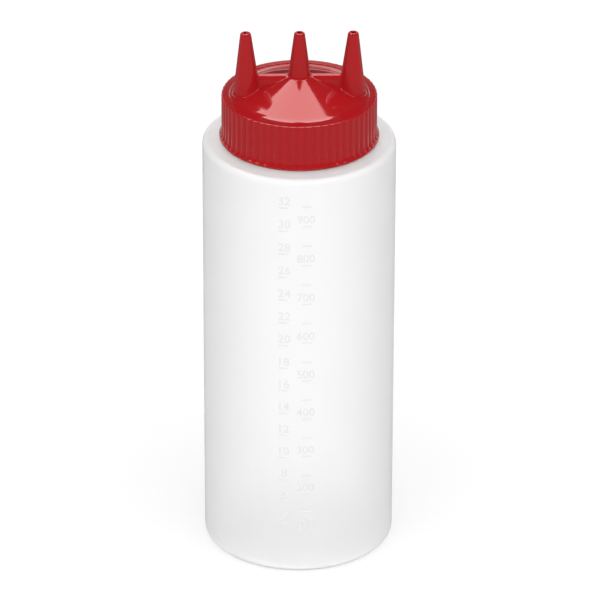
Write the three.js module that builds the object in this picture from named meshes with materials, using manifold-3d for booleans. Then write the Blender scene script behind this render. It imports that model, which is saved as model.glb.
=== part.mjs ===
// A squeeze bottle for sauce with a screw cap that carries three fixed spouts in a row.
// Units are millimetres and +Z is up. The origin is the centre of the base on the plane that
// the bottle stands on, the row of spouts runs along X and the front faces -Y.
import * as THREE from "three";
import { mergeVertices } from "three/addons/utils/BufferGeometryUtils.js";
import Module from "manifold-3d";

const wasm = await Module();
wasm.setup();

// Bottle: a blow-moulded shell with a straight wall, a small heel and a flat shoulder
const bodyRadius = 42;
const bodyHeight = 194.75;
const bodyWall = 1.0;
const heelRadius = 3;
const shoulderRadius = 2.8;
const shoulderRise = 0.3;
const contactRingWidth = 4;
const pushUpHeight = 2.4;
const pushUpRampWidth = 9;

// Neck: a wide mouth with room outside it for the screw thread
const neckRadius = 29.9;
const neckWall = 1.9;
const neckHeight = 17.25;
const neckRootFillet = 1.0;
const neckRimRound = 0.5;
const threadHeight = 1.2;

// Fits between the pieces
const threadClearance = 0.35;
const seatClearance = 0.3;
const skirtClearance = 0.4;
const cutOverrun = 1.0;

// Sealing ring between the neck's rim and the cap's roof
const sealThickness = 1.2;
const sealOverlap = 0.6;

// Cap skirt: a ribbed wall over a plain foot band
const skirtWall = 1.6;
const ribDepth = 0.6;
const ribTrimMargin = 0.15;
const ribCount = 60;
const ribWidthShare = 0.82;
const ribCrownShares = [-1, -0.72, 0, 0.72, 1];
const bandProud = 1.0;
const bandHeight = 3.75;
const bandFlare = 0.9;
const bandEdgeRound = 0.9;
const mouthChamfer = 0.5;

// Cap top: a ledge that falls outwards, a shallow step and a cone with a hollowed foot
const roofWall = 1.95;
const ledgeEdgeRound = 0.9;
const ledgeWidth = 3.3;
const ledgeFall = 0.2;
const ledgeStep = 0.45;
const ledgeStepWidth = 0.5;
const coneAngle = THREE.MathUtils.degToRad(21.7);
const coneFootBlend = 11;
const coneWall = 1.6;

// Spouts: three hollow cones, the outer two leaning out a little
const spoutHeight = 29.3;
const spoutTipRadius = 2.25;
const spoutHalfAngle = THREE.MathUtils.degToRad(7.4);
const spoutLean = THREE.MathUtils.degToRad(1);
const spoutInset = 1.2;
const spoutLipRound = 0.8;
const spoutWall = 1.5;
const spoutTipWall = 1.15;

// Web: the low wall with a rounded ridge that joins the three spouts
const webRidgeRadius = 2.25;
const webDraft = THREE.MathUtils.degToRad(7);
const webTopBelowTip = 19.65;

// Facets
const bodyFacets = 72;
const capFacets = 72;
const spoutFacets = 24;
const webRidgeFacets = 5;
const arcSteps = 2;

// Largest shares that a round may take of the form that carries it
const outerRoundShare = 1 / 3;
const lipRoundShare = 1 / 2;
const innerRoundShare = 1 / 2;

// Heights and radii that follow from the sizes above
const neckInnerRadius = neckRadius - neckWall;
const rimHeight = bodyHeight + neckHeight;
const cavityRadius = neckRadius + threadHeight + threadClearance;
const sealInnerRadius = neckInnerRadius - sealOverlap;
const sealOuterRadius = cavityRadius - seatClearance;
const sealBase = rimHeight + seatClearance;
const roofHeight = sealBase + sealThickness + seatClearance;
const capBase = bodyHeight + skirtClearance;
const ledgeHeight = roofHeight + roofWall;
const ribRootRadius = cavityRadius + skirtWall;
const ribTipRadius = ribRootRadius + ribDepth;
const bandRadius = ribTipRadius + bandProud;
const ledgeInnerRadius = ribTipRadius - ledgeWidth;
const coneFootRadius = ledgeInnerRadius - ledgeStepWidth;
const coneFootHeight = ledgeHeight - ledgeStep;
const tipHeight = coneFootHeight + spoutHeight;
const spoutFootRadius = spoutTipRadius + spoutHeight * Math.tan(spoutHalfAngle);
const spoutPitch = coneFootRadius - spoutInset - spoutFootRadius;
const webTopHeight = tipHeight - webTopBelowTip;

// Finishes
const milkyPolyethylene = new THREE.MeshStandardMaterial({
  color: 0xf0f1f1, roughness: 0.45, metalness: 0, transparent: true, opacity: 0.6,
});
const redPolyethylene = new THREE.MeshStandardMaterial({
  color: 0xb21f24, roughness: 0.25, metalness: 0,
});
const sealRubber = new THREE.MeshStandardMaterial({
  color: 0xd9d6cf, roughness: 0.7, metalness: 0,
});

// A closed geometry with shared corners and without the empty triangles of a pole
function welded(geometry) {
  const bare = geometry.index ? geometry.toNonIndexed() : geometry.clone();
  for (const name of Object.keys(bare.attributes)) {
    if (name !== "position") bare.deleteAttribute(name);
  }
  const merged = mergeVertices(bare);
  const corners = merged.index.array;
  const kept = [];
  for (let i = 0; i < corners.length; i += 3) {
    const [a, b, c] = [corners[i], corners[i + 1], corners[i + 2]];
    if (a !== b && b !== c && c !== a) kept.push(a, b, c);
  }
  merged.setIndex(kept);
  return merged;
}

function toSolid(geometry) {
  const closed = welded(geometry);
  return new wasm.Manifold(new wasm.Mesh({
    numProp: 3,
    vertProperties: new Float32Array(closed.attributes.position.array),
    triVerts: new Uint32Array(closed.index.array),
  }));
}

function toGeometry(solid) {
  const mesh = solid.getMesh();
  const geometry = new THREE.BufferGeometry();
  geometry.setAttribute("position", new THREE.BufferAttribute(mesh.vertProperties, mesh.numProp));
  geometry.setIndex(new THREE.BufferAttribute(mesh.triVerts, 1));
  geometry.computeVertexNormals();
  return geometry;
}

// A profile of radius and height turned about Z
function revolve(profile, facets) {
  return new THREE.LatheGeometry(profile.getPoints(arcSteps), facets).rotateX(Math.PI / 2);
}

// A straight run to a quarter-round or smaller arc, and the arc, added to a profile
function arc(profile, x, y, radius, fromDegrees, toDegrees) {
  const [from, to] = [fromDegrees, toDegrees].map(THREE.MathUtils.degToRad);
  profile.lineTo(x + radius * Math.cos(from), y + radius * Math.sin(from));
  profile.absarc(x, y, radius, from, to, from > to);
}

// The shoulder's edge and the neck's root share the flat shoulder between them
function shoulderRound(radius) {
  return Math.min(radius, (bodyRadius - neckRadius) * outerRoundShare);
}

function heelRound() {
  return Math.min(heelRadius, bodyRadius * outerRoundShare);
}

// Outside of the shell, from the middle of the base up to the rim
function bottleOutside(profile) {
  const heel = heelRound();
  const shoulder = shoulderRound(shoulderRadius);
  const fillet = shoulderRound(neckRootFillet);
  const contactRadius = bodyRadius - heel - contactRingWidth;
  const shoulderEdge = bodyHeight - shoulderRise;
  profile.moveTo(0, pushUpHeight);
  profile.lineTo(contactRadius - pushUpRampWidth, pushUpHeight);
  profile.lineTo(contactRadius, 0);
  arc(profile, bodyRadius - heel, heel, heel, -90, 0);
  arc(profile, bodyRadius - shoulder, shoulderEdge - shoulder, shoulder, 0, 90);
  arc(profile, neckRadius + fillet, bodyHeight + fillet, fillet, -90, -180);
  arc(profile, neckRadius - neckRimRound, rimHeight - neckRimRound, neckRimRound, 0, 90);
}

// Inside of the shell, from the rim down to the middle of the floor
function bottleInside(profile) {
  const smallest = bodyWall * innerRoundShare;
  const heel = Math.max(heelRound() - bodyWall, smallest);
  const shoulder = Math.max(shoulderRound(shoulderRadius) - bodyWall, smallest);
  const innerRadius = bodyRadius - bodyWall;
  const contactRadius = bodyRadius - heelRound() - contactRingWidth;
  const ceiling = bodyHeight - shoulderRise - bodyWall;
  arc(profile, neckInnerRadius + neckRimRound, rimHeight - neckRimRound, neckRimRound, 90, 180);
  profile.lineTo(neckInnerRadius, ceiling + bodyWall);
  profile.lineTo(neckInnerRadius + neckWall, ceiling);
  arc(profile, innerRadius - shoulder, ceiling - shoulder, shoulder, 90, 0);
  arc(profile, innerRadius - heel, bodyWall + heel, heel, 0, -90);
  profile.lineTo(contactRadius, bodyWall);
  profile.lineTo(contactRadius - pushUpRampWidth, pushUpHeight + bodyWall);
  profile.lineTo(0, pushUpHeight + bodyWall);
}

function bottleGeometry() {
  const profile = new THREE.Path();
  bottleOutside(profile);
  bottleInside(profile);
  return welded(revolve(profile, bodyFacets));
}

// A flat ring, as punched from sheet
function sealGeometry() {
  const top = sealBase + sealThickness;
  const profile = new THREE.Path();
  profile.moveTo(sealInnerRadius, sealBase);
  profile.lineTo(sealOuterRadius, sealBase);
  profile.lineTo(sealOuterRadius, top);
  profile.lineTo(sealInnerRadius, top);
  profile.closePath();
  return welded(revolve(profile, bodyFacets));
}

// Points of the cone from its hollowed foot to its top; inset is the depth below the surface.
// The foot is an arc about a centre above it, so the inset grows the arc's radius.
function coneProfile(profile, inset) {
  const centreHeight = coneFootHeight + coneFootBlend;
  const radius = coneFootBlend + inset;
  const [start, end] = [-Math.PI / 2, -Math.PI / 2 - coneAngle];
  profile.absarc(coneFootRadius, centreHeight, radius, start, end, true);
  const endRadius = coneFootRadius - radius * Math.sin(coneAngle);
  const endHeight = centreHeight - radius * Math.cos(coneAngle);
  profile.lineTo(0, endHeight + endRadius * Math.tan(coneAngle));
}

// The cap's outside as a turned form, a little wider than the ribs so that they stay whole
function capEnvelope() {
  const outerRadius = ribTipRadius + ribTrimMargin;
  const edgeCentre = ledgeHeight - ledgeFall - ledgeEdgeRound;
  const profile = new THREE.Path();
  profile.moveTo(0, capBase);
  profile.lineTo(outerRadius, capBase);
  arc(profile, outerRadius - ledgeEdgeRound, edgeCentre, ledgeEdgeRound, 0, 90);
  profile.lineTo(ledgeInnerRadius, ledgeHeight);
  coneProfile(profile, 0);
  return toSolid(revolve(profile, capFacets));
}

// The ribs' outline: half-round crowns on the root circle, all round
function ribOutline() {
  const halfWidth = (Math.PI / ribCount) * ribWidthShare;
  const points = [];
  for (let rib = 0; rib < ribCount; rib++) {
    const middle = (2 * Math.PI * rib) / ribCount;
    for (const share of ribCrownShares) {
      const radius = ribRootRadius + ribDepth * Math.sqrt(1 - share * share);
      const angle = middle + share * halfWidth;
      points.push(new THREE.Vector2(radius * Math.cos(angle), radius * Math.sin(angle)));
    }
  }
  return new THREE.Shape(points);
}

// A tall ribbed bar that the turned envelope trims to the skirt, the ledge and the cone
function ribbedBody() {
  const bar = new THREE.ExtrudeGeometry(ribOutline(), {
    depth: tipHeight - capBase, bevelEnabled: false,
  });
  bar.translate(0, 0, capBase);
  return toSolid(bar).intersect(capEnvelope());
}

// The plain band round the foot of the skirt
function footBand() {
  const bandTop = capBase + bandHeight;
  const profile = new THREE.Path();
  profile.moveTo(0, capBase);
  arc(profile, bandRadius - bandEdgeRound, capBase + bandEdgeRound, bandEdgeRound, -90, 0);
  profile.lineTo(bandRadius, bandTop);
  profile.lineTo(ribRootRadius, bandTop + bandFlare);
  profile.lineTo(0, bandTop + bandFlare);
  return toSolid(revolve(profile, capFacets));
}

// The room inside the cap: a straight mouth for the neck and the hollow under the cone
function capCavity() {
  const mouth = new THREE.Path();
  mouth.moveTo(0, capBase - cutOverrun);
  mouth.lineTo(cavityRadius + mouthChamfer, capBase - cutOverrun);
  mouth.lineTo(cavityRadius + mouthChamfer, capBase);
  mouth.lineTo(cavityRadius, capBase + mouthChamfer);
  mouth.lineTo(cavityRadius, roofHeight);
  mouth.lineTo(0, roofHeight);
  const dome = new THREE.Path();
  dome.moveTo(0, capBase);
  dome.lineTo(coneFootRadius, capBase);
  coneProfile(dome, coneWall);
  const domeRoom = toSolid(revolve(dome, capFacets)).intersect(insideSeal());
  return toSolid(revolve(mouth, capFacets)).add(domeRoom);
}

// The column of space inside the sealing ring, which no hollow of the cap may leave
function insideSeal() {
  const height = tipHeight + cutOverrun - capBase;
  const column = new THREE.CylinderGeometry(sealInnerRadius, sealInnerRadius, height, capFacets);
  return toSolid(column.rotateX(Math.PI / 2).translate(0, 0, capBase + height / 2));
}

// Moves a spout's form from its own axis to its place in the row: side is -1, 0 or 1
function placeSpout(geometry, side) {
  return toSolid(geometry.rotateY(side * spoutLean).translate(side * spoutPitch, 0, coneFootHeight));
}

function spoutOutside(side) {
  const lip = Math.min(spoutLipRound, spoutTipRadius * lipRoundShare);
  const lipRadius = spoutTipRadius + lip * Math.tan(spoutHalfAngle);
  const profile = new THREE.Path();
  profile.moveTo(0, 0);
  profile.lineTo(spoutFootRadius, 0);
  arc(profile, lipRadius - lip, spoutHeight - lip, lip, 0, 90);
  profile.lineTo(0, spoutHeight);
  return placeSpout(revolve(profile, spoutFacets), side);
}

// The bore narrows from the hollow under the cone to the tip, and runs past both ends
function spoutBore(side) {
  const footRadius = spoutFootRadius - spoutWall;
  const tipRadius = spoutTipRadius - spoutTipWall;
  const widening = (footRadius - tipRadius) / spoutHeight;
  const below = coneFootHeight - roofHeight + cutOverrun;
  const profile = new THREE.Path();
  profile.moveTo(0, -below);
  profile.lineTo(footRadius + widening * below, -below);
  profile.lineTo(tipRadius, spoutHeight);
  profile.lineTo(tipRadius, spoutHeight + cutOverrun);
  profile.lineTo(0, spoutHeight + cutOverrun);
  return placeSpout(revolve(profile, spoutFacets), side).intersect(insideSeal());
}

// The web is a drafted bar with a full round on top that ends inside the outer spouts
function web() {
  const radius = Math.min(webRidgeRadius, (webTopHeight - roofHeight) * outerRoundShare);
  const ridge = webTopHeight - radius;
  const halfFoot = radius / Math.cos(webDraft) + (ridge - roofHeight) * Math.tan(webDraft);
  const section = new THREE.Shape();
  section.moveTo(-halfFoot, roofHeight);
  section.lineTo(halfFoot, roofHeight);
  section.absarc(0, ridge, radius, webDraft, Math.PI - webDraft, false);
  const bar = new THREE.ExtrudeGeometry(section, {
    depth: 2 * spoutPitch, curveSegments: webRidgeFacets, bevelEnabled: false,
  });
  const turn = new THREE.Matrix4().makeBasis(
    new THREE.Vector3(0, 1, 0), new THREE.Vector3(0, 0, 1), new THREE.Vector3(1, 0, 0),
  );
  return toSolid(bar.applyMatrix4(turn).translate(-spoutPitch, 0, 0));
}

function capGeometry() {
  const sides = [-1, 0, 1];
  let cap = ribbedBody().add(footBand()).add(web());
  for (const side of sides) cap = cap.add(spoutOutside(side));
  cap = cap.subtract(capCavity());
  for (const side of sides) cap = cap.subtract(spoutBore(side));
  return toGeometry(cap);
}

function piece(name, geometry, material) {
  const mesh = new THREE.Mesh(geometry, material);
  mesh.name = name;
  return mesh;
}

const sauceBottle = new THREE.Group();
sauceBottle.add(piece("bottle", bottleGeometry(), milkyPolyethylene));
sauceBottle.add(piece("seal_ring", sealGeometry(), sealRubber));
sauceBottle.add(piece("cap", capGeometry(), redPolyethylene));

export default sauceBottle;
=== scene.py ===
"""The looks of a squeeze bottle for sauce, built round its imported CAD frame.

The row of spouts runs along X and the graduated front faces -Y. Sizes in the classes are
millimetres, angles are degrees, and meshes are written in metres. Two places closer than SAME
are one place, and SIDES are the left, middle and right spouts along X.
"""

import logging
import math
from dataclasses import dataclass, field
from enum import Enum

import bmesh
import bpy
import numpy as np
from mathutils import Matrix, Vector
from mathutils.geometry import delaunay_2d_cdt

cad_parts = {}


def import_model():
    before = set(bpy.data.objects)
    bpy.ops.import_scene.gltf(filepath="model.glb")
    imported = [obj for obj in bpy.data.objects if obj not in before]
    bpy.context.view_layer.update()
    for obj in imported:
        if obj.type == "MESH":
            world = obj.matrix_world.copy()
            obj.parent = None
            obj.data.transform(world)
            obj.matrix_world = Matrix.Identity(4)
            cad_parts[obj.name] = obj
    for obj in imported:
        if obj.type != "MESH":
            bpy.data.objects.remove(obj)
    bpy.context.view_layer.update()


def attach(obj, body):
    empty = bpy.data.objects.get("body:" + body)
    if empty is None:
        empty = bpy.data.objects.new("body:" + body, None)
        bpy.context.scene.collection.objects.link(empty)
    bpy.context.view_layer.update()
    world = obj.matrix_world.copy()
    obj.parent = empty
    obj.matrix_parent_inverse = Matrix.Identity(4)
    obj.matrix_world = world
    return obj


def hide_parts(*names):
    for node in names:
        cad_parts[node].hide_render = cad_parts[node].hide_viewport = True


MM = 0.001
SAME = 1e-6
SIDES = (-1, 0, 1)
log = logging.getLogger("sauce_bottle")


class Body(Enum):
    """The CAD bodies that the pieces ride on."""

    BOTTLE = "bottle_body"
    SEAL = "seal_body"
    CAP = "cap_body"


def around(count: int) -> np.ndarray:
    """Evenly spaced angles of one full turn.

    Args:
        count: Number of angles.

    Returns:
        The angles in radians, from 0.
    """
    return np.linspace(0.0, 2 * math.pi, count, endpoint=False)


def line(start: np.ndarray, end: np.ndarray, spacing: float, guard: float = 0.06) -> np.ndarray:
    """Sample a straight run, with a point close to each end that keeps its shading flat.

    Args:
        start: First point, as x and y.
        end: Last point.
        spacing: Largest distance between two points.
        guard: Distance of the close points from the ends. Short runs have none.

    Returns:
        The points, one to a row.
    """
    length = float(np.linalg.norm(end - start))
    if length < SAME:
        return start[None, :]
    shares = np.linspace(0.0, 1.0, max(1, math.ceil(length / spacing)) + 1)
    if guard < length / 4:
        shares = np.unique(np.concatenate((shares, [guard / length, 1.0 - guard / length])))
    return start + shares[:, None] * (end - start)


def rounded(corners: list[tuple[float, float, float]], spacing: float, closed: bool = False,
            turn_step: float = 11.0) -> np.ndarray:
    """Sample a run of straight lines whose corners are rounded.

    At a corner with half its inner angle h and rounding radius q, the arc starts q / tan(h)
    before the corner and its centre is q / sin(h) along the corner's bisector.

    Args:
        corners: Each corner as x, y and rounding radius.
        spacing: Largest distance between points on the straight runs.
        closed: Whether the last corner is joined to the first.
        turn_step: Largest turn between two points on an arc, in degrees.

    Returns:
        The sampled points, one to a row, without repeats.
    """
    places = np.array([corner[:2] for corner in corners], dtype=float)
    count = len(corners)
    runs, last = [], None if closed else places[0]
    for index in range(count + 1 if closed else count):
        place, radius = places[index % count], corners[index % count][2]
        if radius <= 0.0 or (not closed and index in (0, count - 1)):
            arc = place[None, :]
        else:
            before = places[(index - 1) % count] - place
            after = places[(index + 1) % count] - place
            before, after = before / np.linalg.norm(before), after / np.linalg.norm(after)
            half = math.acos(float(np.clip(before @ after, -1.0, 1.0))) / 2
            bisector = (before + after) / np.linalg.norm(before + after)
            centre = place + bisector * radius / math.sin(half)
            ends = [place + side * radius / math.tan(half) - centre for side in (before, after)]
            first, final = (math.atan2(end[1], end[0]) for end in ends)
            turn = (final - first + math.pi) % (2 * math.pi) - math.pi
            steps = max(2, math.ceil(abs(math.degrees(turn)) / turn_step))
            angles = np.linspace(first, first + turn, steps + 1)
            arc = centre + radius * np.column_stack((np.cos(angles), np.sin(angles)))
        if last is not None:
            runs.append(line(last, arc[0], spacing))
        if not (closed and index == count):
            runs.append(arc)
        last = arc[-1]
    points = np.vstack(runs)
    keep = np.ones(len(points), dtype=bool)
    keep[1:] = np.linalg.norm(np.diff(points, axis=0), axis=1) > SAME
    points = points[keep]
    if closed and np.linalg.norm(points[0] - points[-1]) < SAME:
        points = points[:-1]
    return points


def turned(radii: np.ndarray, heights: np.ndarray, angles: np.ndarray) -> np.ndarray:
    """Turn a profile about Z: x = radius cos(angle), y = radius sin(angle), z = height.

    Args:
        radii: Radii, as rows by columns or as one column for a round form.
        heights: Heights in the same layout.
        angles: The angle of each column, in radians.

    Returns:
        Points as rows by columns by 3.
    """
    radii, heights = np.broadcast_arrays(radii, heights)
    shape = (radii.shape[0], len(angles))
    radii, heights = np.broadcast_to(radii, shape), np.broadcast_to(heights, shape)
    return np.stack((radii * np.cos(angles), radii * np.sin(angles), heights), axis=2)


def grid_faces(rows: int, columns: int, close_rows: bool = False) -> np.ndarray:
    """Four corners for each face of a grid whose columns go all the way round.

    Args:
        rows: Number of rows of points.
        columns: Number of columns of points.
        close_rows: Whether the last row is joined to the first.

    Returns:
        Corner indices, one face to a row.
    """
    index = np.arange(rows * columns).reshape(rows, columns)
    if close_rows:
        index = np.vstack((index, index[:1]))
    index = np.hstack((index, index[:, :1]))
    faces = (index[:-1, :-1], index[:-1, 1:], index[1:, 1:], index[1:, :-1])
    return np.stack(faces, axis=2).reshape(-1, 4)


@dataclass
class Sheets:
    """Surfaces, in millimetres, that are welded into one closed piece."""

    points: list[np.ndarray] = field(default_factory=list)
    faces: list[list[list[int]]] = field(default_factory=list)
    count: int = 0

    def add(self, points: np.ndarray, faces: np.ndarray) -> None:
        """Add a surface.

        Args:
            points: Its points, in any layout whose last axis is x, y, z.
            faces: Corner indices, one face to a row.
        """
        points = points.reshape(-1, 3)
        self.points.append(points)
        self.faces.append((faces + self.count).tolist())
        self.count += len(points)

    def piece(self, name: str, body: Body, node: str, slot: str,
              finish: bpy.types.Material) -> bpy.types.Object:
        """Weld the surfaces along their edges and place the piece on its body.

        Args:
            name: Name of the piece.
            body: CAD body that it rides on.
            node: CAD node that it stands for.
            slot: Name of a material slot; not used.
            finish: Its material.

        Returns:
            The finished object.
        """
        mesh = bpy.data.meshes.new(name)
        faces = [face for sheet in self.faces for face in sheet]
        mesh.from_pydata((np.vstack(self.points) * MM).tolist(), [], faces)
        work = bmesh.new()
        work.from_mesh(mesh)
        bmesh.ops.remove_doubles(work, verts=work.verts, dist=SAME)
        bmesh.ops.recalc_face_normals(work, faces=work.faces)
        if work.calc_volume(signed=True) < 0.0:
            bmesh.ops.reverse_faces(work, faces=work.faces)
        open_edges = sum(1 for edge in work.edges if len(edge.link_faces) != 2)
        work.to_mesh(mesh)
        work.free()
        mesh.polygons.foreach_set("use_smooth", np.ones(len(mesh.polygons), dtype=bool))
        mesh.materials.append(finish)
        piece = bpy.data.objects.new(name, mesh)
        bpy.context.scene.collection.objects.link(piece)
        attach(piece, body.value)
        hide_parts(node)
        mesh.calc_loop_triangles()
        log.info("%s: %d triangles, %d open edges", name, len(mesh.loop_triangles), open_edges)
        return piece


@dataclass(frozen=True)
class Nodes:
    """A node tree, with short calls that make a node and give its output."""

    tree: bpy.types.NodeTree

    def add(self, kind: str, **settings: object) -> bpy.types.Node:
        """Add a node and set its properties and inputs.

        Args:
            kind: The node's type name.
            settings: Properties by name, or inputs with _ for a space.

        Returns:
            The new node.
        """
        node = self.tree.nodes.new(kind)
        for name, value in settings.items():
            if hasattr(node, name):
                setattr(node, name, value)
            else:
                node.inputs[name.replace("_", " ")].default_value = value
        return node

    def feed(self, source: bpy.types.NodeSocket | float, socket: bpy.types.NodeSocket) -> None:
        """Give a socket its link or its number.

        Args:
            source: An output to link, or a number.
            socket: The input that takes it.
        """
        if isinstance(source, bpy.types.NodeSocket):
            self.tree.links.new(source, socket)
        else:
            socket.default_value = source

    def place(self, output: str = "Object") -> bpy.types.NodeSocket:
        """Texture coordinates of this kind."""
        return self.add("ShaderNodeTexCoord").outputs[output]

    def parts(self, vector: bpy.types.NodeSocket) -> bpy.types.bpy_prop_collection:
        """Split a vector.

        Args:
            vector: The vector.

        Returns:
            Its parts by the names X, Y and Z.
        """
        split = self.add("ShaderNodeSeparateXYZ")
        self.feed(vector, split.inputs["Vector"])
        return split.outputs

    def noise(self, place: bpy.types.NodeSocket, scale: float,
              detail: float = 2.0) -> bpy.types.NodeSocket:
        """A cloudy pattern.

        Args:
            place: Coordinates that it is fixed to.
            scale: Clouds to a metre.
            detail: Finer layers in each cloud.

        Returns:
            Its value, from 0 to 1.
        """
        clouds = self.add("ShaderNodeTexNoise", Scale=scale, Detail=detail)
        self.feed(place, clouds.inputs["Vector"])
        return clouds.outputs["Fac"]

    def bump(self, height: bpy.types.NodeSocket, strength: float,
             depth: float) -> bpy.types.NodeSocket:
        """Relief of the surface.

        Args:
            height: Pattern of the relief.
            strength: Share of the relief that shows.
            depth: Its depth in metres.

        Returns:
            The normal.
        """
        relief = self.add("ShaderNodeBump", Strength=strength, Distance=depth)
        self.feed(height, relief.inputs["Height"])
        return relief.outputs["Normal"]

    def ramp(self, value: bpy.types.NodeSocket, levels: tuple[float, float],
             span: tuple[float, float] = (0.0, 1.0), gentle: bool = False
             ) -> bpy.types.NodeSocket:
        """Map a value over a span to two levels, and hold them outside it.

        Args:
            value: The value.
            levels: Levels at the ends of the span.
            span: Where the value leaves the first level and reaches the second.
            gentle: Whether the change starts and ends without a corner.

        Returns:
            The mapped value.
        """
        kind = "SMOOTHSTEP" if gentle else "LINEAR"
        change = self.add("ShaderNodeMapRange", From_Min=span[0], From_Max=span[1],
                          To_Min=levels[0], To_Max=levels[1], interpolation_type=kind)
        self.feed(value, change.inputs["Value"])
        return change.outputs["Result"]

    def mix(self, share: bpy.types.NodeSocket, first: bpy.types.NodeSocket | float,
            second: bpy.types.NodeSocket | float) -> bpy.types.NodeSocket:
        """Blend two numbers.

        Args:
            share: 0 for the first and 1 for the second.
            first: Output or number.
            second: Output or number.

        Returns:
            The blend.
        """
        blend = self.add("ShaderNodeMix", data_type="FLOAT")
        for source, index in ((share, 0), (first, 2), (second, 3)):
            self.feed(source, blend.inputs[index])
        return blend.outputs[0]

    def work_out(self, operation: str,
                 *terms: bpy.types.NodeSocket | float) -> bpy.types.NodeSocket:
        """One step of arithmetic.

        Args:
            operation: Name of the step.
            terms: Outputs or numbers, in order.

        Returns:
            The result.
        """
        step = self.add("ShaderNodeMath", operation=operation)
        for source, socket in zip(terms, step.inputs):
            self.feed(source, socket)
        return step.outputs["Value"]


def new_material(name: str, colour: tuple[float, float, float]
                 ) -> tuple[bpy.types.Material, Nodes, bpy.types.bpy_prop_collection]:
    """Make a material with only its shader and output.

    Args:
        name: Name of the material.
        colour: Base colour.

    Returns:
        The material, its nodes and its Principled shader's inputs.
    """
    material = bpy.data.materials.new(name)
    material.use_nodes = True
    inputs = material.node_tree.nodes["Principled BSDF"].inputs
    inputs["Base Color"].default_value = (*colour, 1.0)
    return material, Nodes(material.node_tree), inputs


@dataclass(frozen=True)
class GlossyRed:
    """Moulded red polyethylene: glossy, with the faint waviness of a polished mould."""

    colour: tuple[float, float, float] = (0.39, 0.0095, 0.0125)
    sheen_tint: tuple[float, float, float] = (1.0, 0.6, 0.58)
    roughness: tuple[float, float] = (0.07, 0.11)
    flow_scale: float = 90.0
    skin_scale: float = 900.0
    skin_strength: float = 0.05
    skin_depth: float = 0.03
    index: float = 1.52

    def build(self) -> bpy.types.Material:
        """Make the material.

        Returns:
            The material.
        """
        material, nodes, shader = new_material("red_polyethylene", self.colour)
        place = nodes.place()
        flow = nodes.noise(place, self.flow_scale, detail=3.0)
        nodes.feed(nodes.ramp(flow, self.roughness), shader["Roughness"])
        skin = nodes.noise(place, self.skin_scale)
        nodes.feed(nodes.bump(skin, self.skin_strength, self.skin_depth * MM), shader["Normal"])
        shader["IOR"].default_value = self.index
        shader["Specular Tint"].default_value = (*self.sheen_tint, 1.0)
        return material


@dataclass(frozen=True)
class MilkyWall:
    """Natural polyethylene in a thin wall: cloudy, satin and lit from within.

    Light is scattered where it enters the wall and leaves it clearly on the other side.
    """

    colour: tuple[float, float, float] = (0.947, 0.948, 0.948)
    transmission: float = 0.6
    roughness: tuple[float, float] = (0.36, 0.46)
    cloud_scale: float = 35.0
    wave_scale: float = 120.0
    wave_stretch: tuple[float, float, float] = (1.0, 1.0, 0.25)
    wave_strength: float = 0.12
    wave_depth: float = 0.15
    index: float = 1.5

    def build(self) -> bpy.types.Material:
        """Make the material, with its waves drawn out along the bottle as blowing does.

        Returns:
            The material.
        """
        material, nodes, shader = new_material("milky_polyethylene", self.colour)
        place = nodes.place()
        cloud = nodes.noise(place, self.cloud_scale)
        nodes.feed(nodes.ramp(cloud, self.roughness), shader["Roughness"])
        drawn = nodes.add("ShaderNodeMapping", Scale=self.wave_stretch)
        nodes.feed(place, drawn.inputs["Vector"])
        wave = nodes.noise(drawn.outputs["Vector"], self.wave_scale)
        nodes.feed(nodes.bump(wave, self.wave_strength, self.wave_depth * MM), shader["Normal"])
        inner_side = nodes.add("ShaderNodeNewGeometry").outputs["Backfacing"]
        through = nodes.ramp(inner_side, (self.transmission, 1.0))
        nodes.feed(through, shader["Transmission Weight"])
        shader["IOR"].default_value = self.index
        return material


@dataclass(frozen=True)
class SoftSeal:
    """Pressed soft sheet with a fine grain."""

    colour: tuple[float, float, float] = (0.7, 0.68, 0.63)
    roughness: float = 0.75
    grain_scale: float = 1400.0
    grain_strength: float = 0.3
    grain_depth: float = 0.08

    def build(self) -> bpy.types.Material:
        """Make the material.

        Returns:
            The material.
        """
        material, nodes, shader = new_material("seal_sheet", self.colour)
        grain = nodes.noise(nodes.place(), self.grain_scale, detail=3.0)
        relief = nodes.bump(grain, self.grain_strength, self.grain_depth * MM)
        nodes.feed(relief, shader["Normal"])
        shader["Roughness"].default_value = self.roughness
        return material


@dataclass(frozen=True)
class Thread:
    """A ridge that climbs round an axis as a right-hand screw."""

    start: float
    height: float
    base_width: float
    crest_width: float
    pitch: float = 4.233
    turns: float = 1.5
    run_in: float = 25.0

    def proud(self, angles: np.ndarray, heights: np.ndarray) -> np.ndarray:
        """How far the ridge stands proud of its wall.

        Along the axis the ridge is a trapezium with eased flanks about the height
        start + pitch * turn, and it fades in and out over the run-in angle at its ends.

        Args:
            angles: Angles in radians, as a row.
            heights: Heights, as a column.

        Returns:
            The displacement at each point of the grid.
        """
        total = 2 * math.pi * self.turns
        fade = math.radians(self.run_in)
        flank = (self.base_width - self.crest_width) / 2
        ridge = np.zeros(np.broadcast(angles, heights).shape)
        for turn in range(math.ceil(self.turns)):
            unrolled = angles + 2 * math.pi * turn
            middle = self.start + self.pitch * unrolled / (2 * math.pi)
            share = np.clip((self.base_width / 2 - np.abs(heights - middle)) / flank, 0.0, 1.0)
            ends = np.clip(np.minimum(unrolled, total - unrolled) / fade, 0.0, 1.0)
            eased = share * share * (3 - 2 * share) * ends * (2 - ends)
            ridge = np.maximum(ridge, eased)
        return self.height * ridge


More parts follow.
